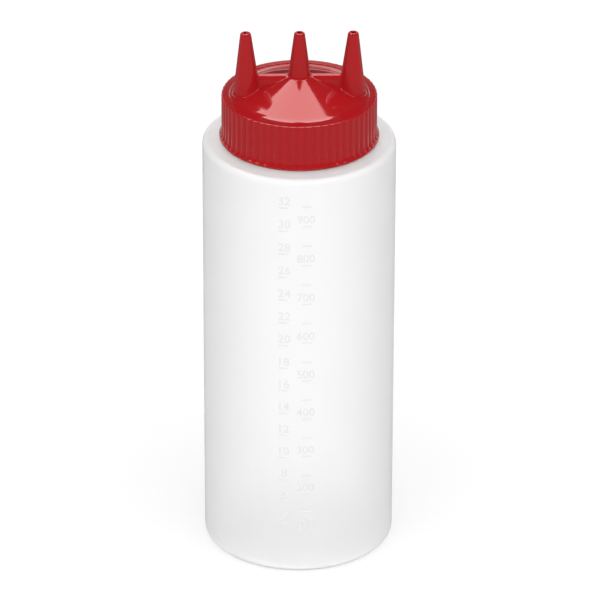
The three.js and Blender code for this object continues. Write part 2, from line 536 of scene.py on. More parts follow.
@dataclass
class Bottle:
    """The blow-moulded shell with its heel, flat shoulder and threaded neck."""

    body_radius: float = 42.0
    body_height: float = 194.75
    wall: float = 1.0
    heel: float = 3.0
    shoulder: float = 2.8
    shoulder_rise: float = 0.3
    contact_width: float = 4.0
    contact_round: float = 2.0
    push_up: float = 2.4
    push_up_ramp: float = 9.0
    base_round: float = 3.0
    neck_radius: float = 29.9
    neck_wall: float = 1.9
    neck_height: float = 17.25
    neck_fillet: float = 1.0
    rim_round: float = 0.5
    throat_round: float = 0.6
    thread_height: float = 1.2
    thread_start: float = 4.9
    thread_widths: tuple[float, float] = (2.0, 0.9)
    spacing: float = 6.0
    neck_spacing: float = 0.28
    columns: int = 192

    @property
    def contact(self) -> float:
        """Inner radius of the flat ring that the bottle stands on."""
        return self.body_radius - self.heel - self.contact_width

    @property
    def rim(self) -> float:
        """Height of the neck's rim."""
        return self.body_height + self.neck_height

    def outside(self) -> list[tuple[float, float, float]]:
        """Corners of the outside from the base's middle to the rim.

        Returns:
            Radius, height and rounding of each corner.
        """
        return [
            (0.0, self.push_up, 0.0),
            (self.contact - self.push_up_ramp, self.push_up, self.base_round),
            (self.contact, 0.0, self.contact_round),
            (self.body_radius, 0.0, self.heel),
            (self.body_radius, self.body_height - self.shoulder_rise, self.shoulder),
            (self.neck_radius, self.body_height, self.neck_fillet),
            (self.neck_radius, self.rim, self.rim_round),
        ]

    def inside(self) -> list[tuple[float, float, float]]:
        """Corners of the inside from the rim to the floor's middle.

        Returns:
            Radius, height and rounding of each corner.
        """
        inner, bore = self.body_radius - self.wall, self.neck_radius - self.neck_wall
        ceiling = self.body_height - self.shoulder_rise - self.wall
        return [
            (bore, self.rim, self.rim_round),
            (bore, ceiling + self.wall, self.throat_round),
            (bore + self.neck_wall, ceiling, self.throat_round),
            (inner, ceiling, self.shoulder - self.wall),
            (inner, self.wall, self.heel - self.wall),
            (self.contact, self.wall, self.contact_round),
            (self.contact - self.push_up_ramp, self.push_up + self.wall, self.base_round),
            (0.0, self.push_up + self.wall, 0.0),
        ]

    def build(self, finish: bpy.types.Material) -> bpy.types.Object:
        """Turn the profile about the axis and raise the thread on the neck.

        The neck's outside is sampled anew, in rows close enough for the thread.

        Args:
            finish: Material of the wall.

        Returns:
            The bottle.
        """
        profile = rounded(self.outside() + self.inside(), self.spacing)
        neck = line(np.array([self.neck_radius, self.body_height + self.neck_fillet]),
                    np.array([self.neck_radius, self.rim - self.rim_round]), self.neck_spacing)
        low, high = neck[0, 1] - SAME, neck[-1, 1] + SAME
        on_neck = (np.abs(profile[:, 0] - self.neck_radius) < SAME) & (
            profile[:, 1] > low) & (profile[:, 1] < high)
        first, last = np.flatnonzero(on_neck)[[0, -1]]
        profile = np.vstack((profile[:first], neck, profile[last + 1:]))
        angles = around(self.columns)
        radii, heights = profile[:, :1], profile[:, 1:]
        thread = Thread(self.body_height + self.thread_start, self.thread_height,
                        *self.thread_widths)
        raised = thread.proud(angles[None, :], heights)
        raised[:first] = 0.0
        raised[first + len(neck):] = 0.0
        sheets = Sheets()
        sheets.add(turned(radii + raised, heights, angles), grid_faces(len(profile), self.columns))
        return sheets.piece("bottle_shell", Body.BOTTLE, "bottle", "milky_plastic", finish)


@dataclass(frozen=True)
class Scale:
    """One moulded scale: what it counts, and where its numerals and ticks lie across."""

    unit: float
    ticks: range
    numerals: range
    numeral_middle: float
    numeral_width: float
    tick_span: tuple[float, float]


@dataclass
class Graduations:
    """The two moulded scales on the front: millilitres on the right and ounces on the left.

    Places across are measured round the wall from the middle line of the front.
    """

    wall_radius: float = 42.0
    proud: float = 0.22
    sunk: float = 0.12
    middle_angle: float = -91.3
    empty_height: float = 2.65
    rise_per_ml: float = 0.1889
    numeral_height: float = 3.9
    numeral_lift: float = 3.4
    tick_height: float = 0.7
    tick_face: float = 0.7
    tick_columns: int = 7
    stroke_gain: float = 0.015
    curve_steps: int = 4
    sharp_angle: float = 35.0
    scales: tuple[Scale, ...] = (
        Scale(1.0, range(100, 951, 50), range(100, 901, 100), 3.08, 7.75, (1.35, 5.66)),
        Scale(29.574, range(4, 33, 2), range(4, 33, 2), -6.25, 5.5, (-8.8, -4.7)),
    )

    def height(self, scale: Scale, mark: int) -> float:
        """Height of a mark: the empty height plus the millilitres times their rise."""
        return self.empty_height + self.rise_per_ml * scale.unit * mark

    def wrapped(self, across: np.ndarray, up: np.ndarray, share: np.ndarray) -> np.ndarray:
        """Lay flat places on the wall.

        The angle is the middle angle + across / radius, and the radius runs from the sunk
        root to the proud face.

        Args:
            across: Places round the wall.
            up: Heights.
            share: 0 at the root and 1 at the proud face.

        Returns:
            Points as x, y, z, one to a row.
        """
        angles = math.radians(self.middle_angle) + across / self.wall_radius
        radii = self.wall_radius - self.sunk + share * (self.sunk + self.proud)
        return np.column_stack((radii * np.cos(angles), radii * np.sin(angles), up))

    def tick(self, scale: Scale, mark: int) -> tuple[np.ndarray, np.ndarray]:
        """A raised bar with its long edges drawn in towards its face.

        Args:
            scale: The scale that it belongs to.
            mark: Its reading.

        Returns:
            Points and faces.
        """
        across = np.linspace(*scale.tick_span, self.tick_columns)
        half = self.tick_height / 2
        face = half * self.tick_face
        section = np.array([(-half, 0.0), (-face, 1.0), (face, 1.0), (half, 0.0)])
        corners = len(section)
        ups = np.tile(section[:, 0], len(across)) + self.height(scale, mark)
        points = self.wrapped(np.repeat(across, corners), ups,
                              np.tile(section[:, 1], len(across)))
        end = np.arange(corners)
        ends = np.vstack((end, end + len(points) - corners))
        return points, np.vstack((grid_faces(len(across), corners), ends))

    def numeral(self, scale: Scale, mark: int, size: np.ndarray) -> tuple[np.ndarray, np.ndarray]:
        """A raised number above its tick.

        Args:
            scale: The scale that it belongs to.
            mark: The number.
            size: Millimetres for one unit of the letter form, across and up.

        Returns:
            Points and triangles.
        """
        points, faces = self.letter_form(str(mark))
        low, high = points.min(axis=0), points.max(axis=0)
        flat = (points[:, :2] - (low + high)[:2] / 2) * size
        across = flat[:, 0] + scale.numeral_middle
        up = flat[:, 1] + self.height(scale, mark) + self.numeral_lift
        return self.wrapped(across, up, points[:, 2] + 0.5), faces

    def letter_form(self, text: str) -> tuple[np.ndarray, np.ndarray]:
        """The solid form of a short text in the plain built-in face, one unit thick.

        Args:
            text: What it reads.

        Returns:
            Points and triangles.
        """
        curve = bpy.data.curves.new("letter_form", "FONT")
        curve.body, curve.extrude, curve.resolution_u = text, 0.5, self.curve_steps
        curve.offset = self.stroke_gain
        holder = bpy.data.objects.new("letter_form", curve)
        mesh = bpy.data.meshes.new_from_object(holder)
        mesh.calc_loop_triangles()
        points = np.zeros(len(mesh.vertices) * 3)
        mesh.vertices.foreach_get("co", points)
        faces = np.zeros(len(mesh.loop_triangles) * 3, dtype=np.int32)
        mesh.loop_triangles.foreach_get("vertices", faces)
        bpy.data.objects.remove(holder)
        bpy.data.meshes.remove(mesh)
        bpy.data.curves.remove(curve)
        return points.reshape(-1, 3), faces.reshape(-1, 3)

    def build(self, finish: bpy.types.Material) -> bpy.types.Object:
        """Raise every tick and number on the wall.

        Args:
            finish: Material of the marks.

        Returns:
            The marks as one piece.
        """
        sheets = Sheets()
        for scale in self.scales:
            longest, _ = self.letter_form("0" * len(str(scale.numerals[-1])))
            reach = np.ptp(longest, axis=0)
            size = np.array([scale.numeral_width / reach[0], self.numeral_height / reach[1]])
            for mark in scale.ticks:
                sheets.add(*self.tick(scale, mark))
            for mark in scale.numerals:
                sheets.add(*self.numeral(scale, mark, size))
        marks = sheets.piece("graduations", Body.BOTTLE, "bottle", "milky_plastic", finish)
        marks.data.set_sharp_from_angle(angle=math.radians(self.sharp_angle))
        return marks


@dataclass
class SealRing:
    """The soft ring between the neck's rim and the cap's roof."""

    inner_radius: float = 27.4
    outer_radius: float = 31.15
    base: float = 212.3
    thickness: float = 1.2
    edge: float = 0.15
    columns: int = 128

    def build(self, finish: bpy.types.Material) -> bpy.types.Object:
        """Turn the ring's rectangle, with eased edges, about the axis.

        Args:
            finish: Material of the sheet.

        Returns:
            The ring.
        """
        top = self.base + self.thickness
        profile = rounded([
            (self.inner_radius, self.base, self.edge), (self.outer_radius, self.base, self.edge),
            (self.outer_radius, top, self.edge), (self.inner_radius, top, self.edge),
        ], spacing=1.0, closed=True, turn_step=30.0)
        ring = turned(profile[:, :1], profile[:, 1:], around(self.columns))
        sheets = Sheets()
        sheets.add(ring, grid_faces(len(profile), self.columns, close_rows=True))
        return sheets.piece("sealing_ring", Body.SEAL, "seal_ring", "seal", finish)


def round_union(first: np.ndarray, second: np.ndarray, radius: float) -> np.ndarray:
    """Join two distance fields with a fillet.

    Where both fields are nearer than the radius q, the joined field is
    q - length(q - first, q - second), and elsewhere it is the smaller one.

    Args:
        first: One field.
        second: The other field.
        radius: Radius of the fillet.

    Returns:
        The joined field.
    """
    near_first, near_second = np.maximum(radius - first, 0.0), np.maximum(radius - second, 0.0)
    return np.maximum(radius, np.minimum(first, second)) - np.hypot(near_first, near_second)


def round_cut(first: np.ndarray, second: np.ndarray, radius: float) -> np.ndarray:
    """Keep what lies in both distance fields: round_union turned inside out.

    Args:
        first: One field.
        second: The other field.
        radius: Radius that the edge is rounded to.

    Returns:
        The field of what is kept.
    """
    return -round_union(-first, -second, radius)


def eased(first: np.ndarray, second: np.ndarray, ease: float, sign: int) -> np.ndarray:
    """The larger or the smaller of two fields, with a gentle change from one to the other.

    It is half of first + second + sign * sqrt((first - second)^2 + ease^2).

    Args:
        first: One field.
        second: The other field.
        ease: Width of the change.
        sign: 1 for the larger field and -1 for the smaller.

    Returns:
        The field.
    """
    return 0.5 * (first + second + sign * np.sqrt((first - second) ** 2 + ease ** 2))


@dataclass
class CapTop:
    """The cone, its three spouts and the web, with the hollow and the bores below.

    Both faces are heights over a plan. The plan's points lie on rings round the spouts, in
    rows along the web and on a lattice elsewhere. The turns give the first angle, the last
    and the number of rings on a rounding, and mouth_rings the first distance, the limit and
    the step. Of flank_ends the first counts from the tip and the second from the foot, and of
    bore_starts the first counts from the bore's lip and the second from the tip.
    """

    foot_radius: float = 29.85
    foot_height: float = 215.3
    foot_blend: float = 11.0
    cone_angle: float = 21.7
    cone_wall: float = 1.6
    hollow_radius: float = 27.4
    spout_height: float = 29.3
    tip_radius: float = 2.25
    tip_bore: float = 1.1
    half_angle: float = 7.4
    lean: float = 1.0
    inset: float = 1.2
    lip: float = 0.8
    bore_lip: float = 0.25
    spout_wall: float = 1.5
    spout_fillet: float = 0.6
    web_ridge: float = 2.25
    web_draft: float = 7.0
    web_below_tip: float = 19.65
    web_fillet: float = 0.35
    columns: int = 600
    spout_columns: int = 64
    flank_gap: float = 0.8
    fillet_gap: float = 0.16
    fillet_margin: float = 0.9
    fillet_lead: float = 0.3
    flank_ends: tuple[float, float] = (1.4, 1.0)
    lip_turns: tuple[float, float, int] = (90.0, 8.0, 9)
    bore_turns: tuple[float, float, int] = (8.0, 90.0, 5)
    bore_starts: tuple[float, float] = (0.5, 1.8)
    bore_gap: float = 1.0
    mouth_rings: tuple[float, float, float] = (0.15, 1.2, 0.2)
    web_gap: float = 0.4
    web_margin: float = 1.3
    web_clear: float = 0.08
    web_least: float = 0.5
    lattice_gap: float = 0.62
    lattice_clear: float = 0.3
    hollow_gap: float = 1.1
    edge_gap: float = 0.2
    search_margin: float = 1.0
    halvings: int = 40

    @property
    def taper(self) -> float:
        """How much a spout's radius grows for each millimetre down from its tip."""
        return math.tan(math.radians(self.half_angle))

    @property
    def foot(self) -> float:
        """Radius of a spout at the height of the cone's foot."""
        return self.tip_radius + self.spout_height * self.taper

    @property
    def pitch(self) -> float:
        """Distance between neighbouring spouts at their feet."""
        return self.foot_radius - self.inset - self.foot

    @property
    def web_axis(self) -> float:
        """Height of the axis that the web's ridge is rounded about."""
        return self.foot_height + self.spout_height - self.web_below_tip - self.web_ridge

    def cone(self, radii: np.ndarray, inset: float = 0.0) -> tuple[np.ndarray, np.ndarray]:
        """The cone's height and the cosine of its slope.

        The foot is an arc about a centre above it, and the straight flank leaves the arc at
        the cone's angle. An inset moves both of them inwards.

        Args:
            radii: Distances from the cap's axis.
            inset: Depth below the surface.

        Returns:
            Heights and cosines.
        """
        angle = math.radians(self.cone_angle)
        blend = self.foot_blend + inset
        share = np.clip((self.foot_radius - radii) / blend, 0.0, math.sin(angle))
        cosine = np.sqrt(1.0 - share ** 2)
        flank = np.maximum(self.foot_radius - blend * math.sin(angle) - radii, 0.0)
        heights = self.foot_height + self.foot_blend - blend * cosine + flank * math.tan(angle)
        return heights, cosine

    def spout_place(self, side: int, across: np.ndarray, depth: np.ndarray,
                    up: np.ndarray) -> np.ndarray:
        """Points of a spout's own frame, leant about Y and moved to its place in the row.

        Args:
            side: -1, 0 or 1 along X.
            across: Own x.
            depth: Own y.
            up: Height above the cone's foot along the spout's axis.

        Returns:
            Points as x, y, z in the last axis.
        """
        lean = math.radians(self.lean) * side
        across, depth, up = np.broadcast_arrays(across, depth, up)
        x = across * math.cos(lean) + up * math.sin(lean) + side * self.pitch
        z = up * math.cos(lean) - across * math.sin(lean) + self.foot_height
        return np.stack((x, depth, z), axis=-1)

    def spout_frame(self, side: int, points: np.ndarray) -> tuple[np.ndarray, np.ndarray]:
        """Distance from a spout's axis and height along it, for points x, y, z.

        Args:
            side: -1, 0 or 1 along X.
            points: Points with x, y, z in the last axis.

        Returns:
            Distances and heights.
        """
        lean = math.radians(self.lean) * side
        x, z = points[..., 0] - side * self.pitch, points[..., 2] - self.foot_height
        across = x * math.cos(lean) - z * math.sin(lean)
        return np.hypot(across, points[..., 1]), z * math.cos(lean) + x * math.sin(lean)

    def solid(self, points: np.ndarray) -> np.ndarray:
        """Distance field of the top: below 0 in the plastic, with every fillet in it.

        It joins the ground under the cone, the web (a round bar whose sides run on downwards
        at the draft) and the spouts (cones cut by their tip planes and by their bores).

        Args:
            points: Points with x, y, z in the last axis.

        Returns:
            The field at each point.
        """
        height, cosine = self.cone(np.hypot(points[..., 0], points[..., 1]))
        ground = (points[..., 2] - height) * cosine
        draft = math.radians(self.web_draft)
        out, up = np.abs(points[..., 1]), points[..., 2] - self.web_axis
        face = out * math.cos(draft) + up * math.sin(draft)
        web = np.where(up > out * math.tan(draft), np.hypot(out, up), face) - self.web_ridge
        web = np.maximum(web, np.abs(points[..., 0]) - self.pitch)
        joined = round_union(ground, web, self.web_fillet)
        flank = math.cos(math.radians(self.half_angle))
        for side in SIDES:
            out, up = self.spout_frame(side, points)
            radius = self.tip_radius + (self.spout_height - up) * self.taper
            spout = round_cut((out - radius) * flank, up - self.spout_height, self.lip)
            spout = round_cut(spout, self.tip_bore - out, self.bore_lip)
            joined = round_union(joined, spout, self.spout_fillet)
        return joined

    def bore_radius(self, up: np.ndarray) -> np.ndarray:
        """Radius of a bore: the tip's bore at the lip, then wider in proportion to the depth.

        Args:
            up: Heights along the spout.

        Returns:
            The radii.
        """
        lip_height = self.spout_height - self.bore_lip
        widening = (self.foot - self.spout_wall - self.tip_bore) / lip_height
        return self.tip_bore + np.maximum(lip_height - up, 0.0) * widening

    def hollow(self, points: np.ndarray) -> np.ndarray:
        """Distance field of the hollow: below 0 under the cone and in the bores.

        Args:
            points: Points with x, y, z in the last axis.

        Returns:
            The field at each point.
        """
        height, cosine = self.cone(np.hypot(points[..., 0], points[..., 1]), self.cone_wall)
        joined = (points[..., 2] - height) * cosine
        for side in SIDES:
            out, up = self.spout_frame(side, points)
            bore = np.maximum(out - self.bore_radius(up), up - self.spout_height + self.bore_lip)
            joined = round_union(joined, bore, self.bore_lip * 2)
        return joined

    def heights(self, plan: np.ndarray, hollow: bool) -> np.ndarray:
        """Height at which each plan point leaves the field, found by halving the range.

        Args:
            plan: Points with x and y.
            hollow: Whether to follow the hollow's roof and not the plastic's top.

        Returns:
            Heights.
        """
        inside_of = self.hollow if hollow else self.solid
        low = np.full(len(plan), self.foot_height - 2 * self.cone_wall - self.search_margin)
        high = np.full(len(plan), self.foot_height + self.spout_height + self.search_margin)
        for _ in range(self.halvings):
            middle = (low + high) / 2
            inside = inside_of(np.column_stack((plan, middle))) < 0.0
            low, high = np.where(inside, middle, low), np.where(inside, high, middle)
        return (low + high) / 2

    def rings(self, radii: np.ndarray, ups: np.ndarray) -> list[np.ndarray]:
        """Rings round each spout's axis.

        Args:
            radii: Radius of each ring.
            ups: Height of each ring along the spout.

        Returns:
            For each spout, its rings' points one after another, as x, y, z.
        """
        angles = around(self.spout_columns)
        across, depth = radii[:, None] * np.cos(angles), radii[:, None] * np.sin(angles)
        return [self.spout_place(side, across, depth, ups[:, None]).reshape(-1, 3)
                for side in SIDES]

    def lips(self) -> list[np.ndarray]:
        """The loops where the bores open in the tips, one for each spout."""
        return self.rings(np.array([self.tip_bore]), np.array([self.spout_height - self.bore_lip]))

    def lattice(self, outer: float, spacing: float) -> np.ndarray:
        """Plan points on rings about the cap's axis, evenly spaced along each ring.

        Args:
            outer: Radius that the rings stay inside.
            spacing: Distance between rings and between points.

        Returns:
            Points with x and y, from the first ring outwards.
        """
        rings = []
        count = max(1, round(outer / spacing))
        for number in range(1, count):
            radius = outer * number / count
            points = max(1, round(2 * math.pi * radius / spacing))
            angles = around(points) + math.pi / points * (number % 2)
            rings.append(radius * np.column_stack((np.cos(angles), np.sin(angles))))
        return np.vstack(rings)

    def sheet(self, outer: np.ndarray, inner: list[np.ndarray], loose: np.ndarray,
              hollow: bool) -> tuple[np.ndarray, np.ndarray]:
        """Triangles over plan points between an outer loop and the bores' lips.

        Args:
            outer: Points x, y, z of the outer loop.
            inner: Points x, y, z of each lip.
            loose: Other plan points x and y.
            hollow: Whether the sheet follows the hollow.

        Returns:
            Points and triangles.
        """
        loops = [outer, *inner]
        fixed = np.vstack(loops)
        plan = np.vstack((fixed[:, :2], loose))
        edges, owner, start = [], np.full(len(plan), -1), 0
        for number, loop in enumerate(loops):
            index = np.arange(len(loop))
            edges.append(np.column_stack((index, np.roll(index, -1))) + start)
            owner[start:start + len(loop)] = number
            start += len(loop)
        found = delaunay_2d_cdt([Vector(point) for point in plan.tolist()],
                                np.vstack(edges).tolist(), [], 0, 1e-6)
        source = np.array([origin[0] if origin else -1 for origin in found[3]])
        if len(source) != len(plan) or (source < 0).any():
            log.info("plan points: %d given, %d kept", len(plan), len(source))
        faces = source[np.array(found[2])]
        owners = owner[faces]
        in_lip = (owners[:, 0] > 0) & (owners == owners[:, :1]).all(axis=1)
        heights = np.concatenate((fixed[:, 2], self.heights(loose, hollow)))
        return np.column_stack((plan, heights)), faces[~in_lip]

    def outer_loop(self, radius: float, height: float) -> np.ndarray:
        """A circle of the skirt's columns at this radius and height."""
        return turned(np.array([[radius]]), np.array([[height]]), around(self.columns))[0]

    def from_spout(self, side: int, plan: np.ndarray) -> np.ndarray:
        """Distance of plan points from a spout's foot."""
        return np.hypot(plan[:, 0] - side * self.pitch, plan[:, 1])

    def spout_limit(self, side: int) -> float:
        """Distance from a spout's foot, in plan, up to which its own rings lie.

        Args:
            side: -1, 0 or 1 along X.

        Returns:
            Its radius where it meets the cone, with its fillet and a margin.
        """
        height, _ = self.cone(np.array([abs(side) * self.pitch]))
        up = float(height[0]) - self.foot_height
        radius = self.tip_radius + (self.spout_height - up) * self.taper
        return radius + self.spout_fillet + self.fillet_margin - self.edge_gap

    def web_half(self, x: np.ndarray) -> np.ndarray:
        """The web's half-width where it meets the cone.

        Below the ridge's round it is ridge / cos(draft) + depth * tan(draft), and on the round
        it is sqrt(ridge^2 - height^2), both about the ridge's axis.

        Args:
            x: Places along the row of spouts.

        Returns:
            The half-widths.
        """
        draft = math.radians(self.web_draft)
        height, _ = self.cone(np.hypot(x, self.web_ridge))
        up = height - self.web_axis
        on_round = np.sqrt(np.maximum(self.web_ridge ** 2 - up ** 2, self.web_least ** 2))
        on_side = self.web_ridge / math.cos(draft) - up * math.tan(draft)
        return np.where(up > self.web_ridge * math.sin(draft), on_round, on_side)

    def web_rows(self) -> np.ndarray:
        """Plan points along the web, in rows that follow its faces down to the cone.

        Returns:
            Points with x and y.
        """
        xs = np.arange(0.0, self.pitch, self.web_gap)
        xs = np.concatenate((-xs[:0:-1], xs))
        half = self.web_half(xs)
        edge = np.minimum(self.web_ridge * math.cos(math.radians(self.web_draft)),
                          half - self.web_clear)
        on_top = edge * np.sin(np.radians(np.arange(0.0, 91.0, 10.0)))[:, None]
        on_face = edge + (half - edge) * np.array([0.25, 0.5, 0.75])[:, None]
        reach = np.array([-0.15, 0.0, 0.1, 0.22, 0.38, 0.58, 0.8, 1.0, self.web_margin])
        on_foot = half + self.web_fillet * reach[:, None]
        rows = np.vstack((on_top, on_face, on_foot))
        rows = np.vstack((-rows[:0:-1], rows))
        return np.stack((np.broadcast_to(xs, rows.shape), rows), axis=-1).reshape(-1, 2)

    def beside_web(self, plan: np.ndarray, gap: float) -> np.ndarray:
        """Whether plan points lie further than a gap outside the web and its rows."""
        half = self.web_half(plan[:, 0]) + self.web_fillet * self.web_margin
        return (np.abs(plan[:, 1]) > half + gap) | (np.abs(plan[:, 0]) > self.pitch)

    def spout_rings(self) -> list[np.ndarray]:
        """Rings from a bore over the lip, down the flank and across the fillet at the foot.

        The lip's rings are arcs of its two roundings, and the foot's rings are close enough
        to follow the fillet wherever the cone meets it.

        Returns:
            For each spout, the points as x, y, z.
        """
        lip_turn = np.radians(np.linspace(*self.lip_turns))
        bore_turn = np.radians(np.linspace(*self.bore_turns))
        reach = self.tip_radius + self.lip * self.taper - self.lip
        bore = self.tip_bore + self.bore_lip * (1 - np.cos(bore_turn))
        lip = np.concatenate((bore[1:], reach + self.lip * np.cos(lip_turn)))
        from_tip, from_foot = self.flank_ends
        down = np.arange(from_tip, self.spout_height - from_foot, self.flank_gap)
        beyond = np.arange(-self.fillet_lead, self.spout_fillet + self.fillet_margin,
                           self.fillet_gap)
        radii = np.concatenate((lip, self.tip_radius + down * self.taper, self.foot + beyond))
        ups = self.spout_height - np.concatenate((
            np.zeros(len(lip)), down, np.full(len(beyond), self.spout_height)))
        order = np.argsort(radii, kind="stable")
        return self.rings(radii[order], ups[order])

    def upper(self) -> tuple[np.ndarray, np.ndarray]:
        """The outside of the top.

        A spout's rings give way to the web's rows where these begin, and the lattice gives
        way to both.

        Returns:
            Points and triangles.
        """
        web_reach = self.tip_radius + self.web_below_tip * self.taper
        web_reach += self.spout_fillet + self.fillet_margin
        web = self.web_rows()
        lattice = self.lattice(self.foot_radius, self.lattice_gap)
        keep_web = np.ones(len(web), dtype=bool)
        keep_lattice = self.beside_web(lattice, self.lattice_clear)
        plan = []
        for side, ring in zip(SIDES, self.spout_rings()):
            limit, points = self.spout_limit(side), ring[:, :2]
            out = self.from_spout(side, points)
            past_web = self.beside_web(points, self.web_clear) | (out <= web_reach)
            plan.append(points[(out < limit) & past_web])
            keep_web &= self.from_spout(side, web) > web_reach
            keep_lattice &= self.from_spout(side, lattice) > limit + self.edge_gap
        loose = np.vstack((*plan, web[keep_web], lattice[keep_lattice]))
        loose = loose[np.hypot(loose[:, 0], loose[:, 1]) < self.foot_radius - self.edge_gap]
        return self.sheet(self.outer_loop(self.foot_radius, self.foot_height), self.lips(),
                          loose, hollow=False)

    def under(self) -> tuple[np.ndarray, np.ndarray]:
        """The roof of the hollow and the walls of the bores.

        Returns:
            Points and triangles.
        """
        height, _ = self.cone(np.array([self.hollow_radius]), self.cone_wall)
        first, second = self.bore_starts
        ups = np.concatenate((np.array([self.spout_height - self.bore_lip - first]),
                              np.arange(self.spout_height - second, 0.0, -self.bore_gap)))
        radii = self.bore_radius(ups)
        mouth = radii[-1] + np.arange(*self.mouth_rings)
        rings = self.rings(np.concatenate((radii, mouth)),
                           np.concatenate((ups, np.zeros(len(mouth)))))
        lattice = self.lattice(self.hollow_radius, self.hollow_gap)
        keep = np.ones(len(lattice), dtype=bool)
        for side in SIDES:
            keep &= self.from_spout(side, lattice) > mouth[-1] + self.lattice_clear
        loose = np.vstack((*(ring[:, :2] for ring in rings), lattice[keep]))
        loose = loose[np.hypot(loose[:, 0], loose[:, 1]) < self.hollow_radius - self.edge_gap]
        return self.sheet(self.outer_loop(self.hollow_radius, float(height[0])), self.lips(),
                          loose, hollow=True)


@dataclass
class ScrewCap:
    """The one-piece cap: ribbed skirt, foot band, ledge, threaded inside and its top.

    Its thread lies half a pitch below the neck's. The ribs lean out fully at the first of
    rib_flare_heights above the base and stand upright from the second.
    """

    top: CapTop = field(default_factory=CapTop)
    base: float = 195.15
    roof: float = 213.8
    ledge: float = 215.75
    ledge_fall: float = 0.04
    ledge_edge: float = 2.2
    step_flat: float = 0.05
    step_foot_round: float = 0.12
    step_width: float = 0.5
    step_round: float = 0.2
    cavity: float = 31.45
    chamfer: float = 0.5
    chamfer_round: float = 0.15
    roof_corner: float = 0.4
    roof_round: float = 0.3
    hollow_round: float = 0.1
    rib_root: float = 33.05
    rib_depth: float = 0.6
    rib_count: int = 60
    rib_width_share: float = 0.82
    rib_samples: int = 10
    rib_ease: float = 0.12
    rib_flare: float = 0.75
    rib_flare_heights: tuple[float, float] = (1.3, 4.8)
    trim_margin: float = 0.15
    trim_reach: float = 0.4
    edge_round: float = 0.9
    band_proud: float = 1.0
    band_height: float = 1.3
    band_round: float = 0.35
    flare_height: float = 1.1
    flare_round: float = 1.4
    flare_lead: float = 5.0
    thread_offset: float = 2.1165
    thread_start: float = 199.65
    thread_height: float = 1.2
    thread_widths: tuple[float, float] = (1.8, 0.8)
    thread_spacing: float = 0.6

    @property
    def columns(self) -> int:
        """Number of columns round the skirt."""
        return self.rib_count * self.rib_samples

    def rib_radii(self, angles: np.ndarray) -> np.ndarray:
        """Radius of the ribbed wall: root + depth * sqrt(1 - share^2) across each rib.

        Args:
            angles: Angles in radians.

        Returns:
            The radius at each angle.
        """
        pitch = 2 * math.pi / self.rib_count
        local = (angles + pitch / 2) % pitch - pitch / 2
        share = np.clip(local / (pitch / 2 * self.rib_width_share), -1.0, 1.0)
        return self.rib_root + self.rib_depth * np.sqrt(1.0 - share ** 2)

    def outside(self) -> tuple[np.ndarray, np.ndarray]:
        """The skirt's outside from the cone's foot to the bottom and the mouth's chamfer.

        A turned profile gives each row's radius. In the ribbed stretch the wall is the smaller
        of the ribs' radius and the turned edge at the top, and the larger of the ribs' radius
        and the flare at the bottom, both eased. The ribs lean out with the square of their
        share of the way down to the band.

        Returns:
            Points and faces.
        """
        crest = self.rib_root + self.rib_depth
        outer, band = crest + self.trim_margin, crest + self.band_proud
        upper = rounded([
            (self.top.foot_radius, self.top.foot_height, 0.0),
            (self.top.foot_radius + self.step_flat, self.top.foot_height, self.step_foot_round),
            (self.top.foot_radius + self.step_width, self.ledge, self.step_round),
            (outer, self.ledge - self.ledge_fall, self.edge_round),
            (outer, self.ledge - self.ledge_edge, 0.0),
        ], spacing=2.0, turn_step=9.0)
        band_top = self.base + self.band_height
        flare_top = band_top + self.flare_height
        lower = rounded([
            (self.rib_root - self.rib_depth, flare_top + self.flare_lead, 0.0),
            (self.rib_root, flare_top, self.flare_round),
            (band, band_top, self.band_round),
            (band, self.base, self.edge_round),
            (self.cavity + self.chamfer, self.base, self.chamfer_round),
            (self.cavity, self.base + self.chamfer, 0.0),
        ], spacing=1.0)
        angles = around(self.columns)
        ribs = self.rib_radii(angles)[None, :]
        radii = upper[:, :1]
        trimmed = np.where(radii > self.rib_root - self.trim_reach,
                           eased(radii, ribs, self.rib_ease, -1), radii)
        radii, heights = lower[:, :1], lower[:, 1:]
        full, none = self.rib_flare_heights
        down = np.clip((self.base + none - heights) / (none - full), 0.0, 1.0)
        leaning = ribs + self.rib_flare * down ** 2
        spread = np.where(heights > self.base + self.edge_round,
                          eased(radii, leaning, self.rib_ease, 1), radii)
        points = np.vstack((turned(trimmed, upper[:, 1:], angles),
                            turned(spread, heights, angles)))
        return points, grid_faces(len(points), self.columns)

    def inside(self) -> tuple[np.ndarray, np.ndarray]:
        """The inner wall with its thread, and the roof in to the hollow's edge.

        Returns:
            Points and faces.
        """
        hollow_edge, _ = self.top.cone(np.array([self.top.hollow_radius]), self.top.cone_wall)
        wall_top = self.roof - self.roof_corner
        wall = line(np.array([self.cavity, self.base + self.chamfer]),
                    np.array([self.cavity, wall_top]), self.thread_spacing)
        turn = rounded([
            (self.cavity, wall_top, 0.0), (self.cavity, self.roof, self.roof_round),
            (self.top.hollow_radius + self.hollow_round, self.roof, self.hollow_round),
            (self.top.hollow_radius, float(hollow_edge[0]), 0.0),
        ], spacing=2.0, turn_step=30.0)
        profile = np.vstack((wall[:-1], turn))
        angles = around(self.columns)
        thread = Thread(self.thread_start - self.thread_offset, self.thread_height,
                        *self.thread_widths)
        ridge = thread.proud(angles[None, :], profile[:, 1:])
        ridge[len(wall) - 1:] = 0.0
        ridge[0] = 0.0
        points = turned(profile[:, :1] - ridge, profile[:, 1:], angles)
        return points, grid_faces(len(points), self.columns)

    def build(self, finish: bpy.types.Material) -> bpy.types.Object:
        """Weld the skirt, the inner wall, the top and the hollow into one closed piece.

        Args:
            finish: Material of the cap.

        Returns:
            The cap.
        """
        sheets = Sheets()
        for surface in (self.outside(), self.inside(), self.top.upper(), self.top.under()):
            sheets.add(*surface)
        return sheets.piece("screw_cap", Body.CAP, "cap", "red_plastic", finish)


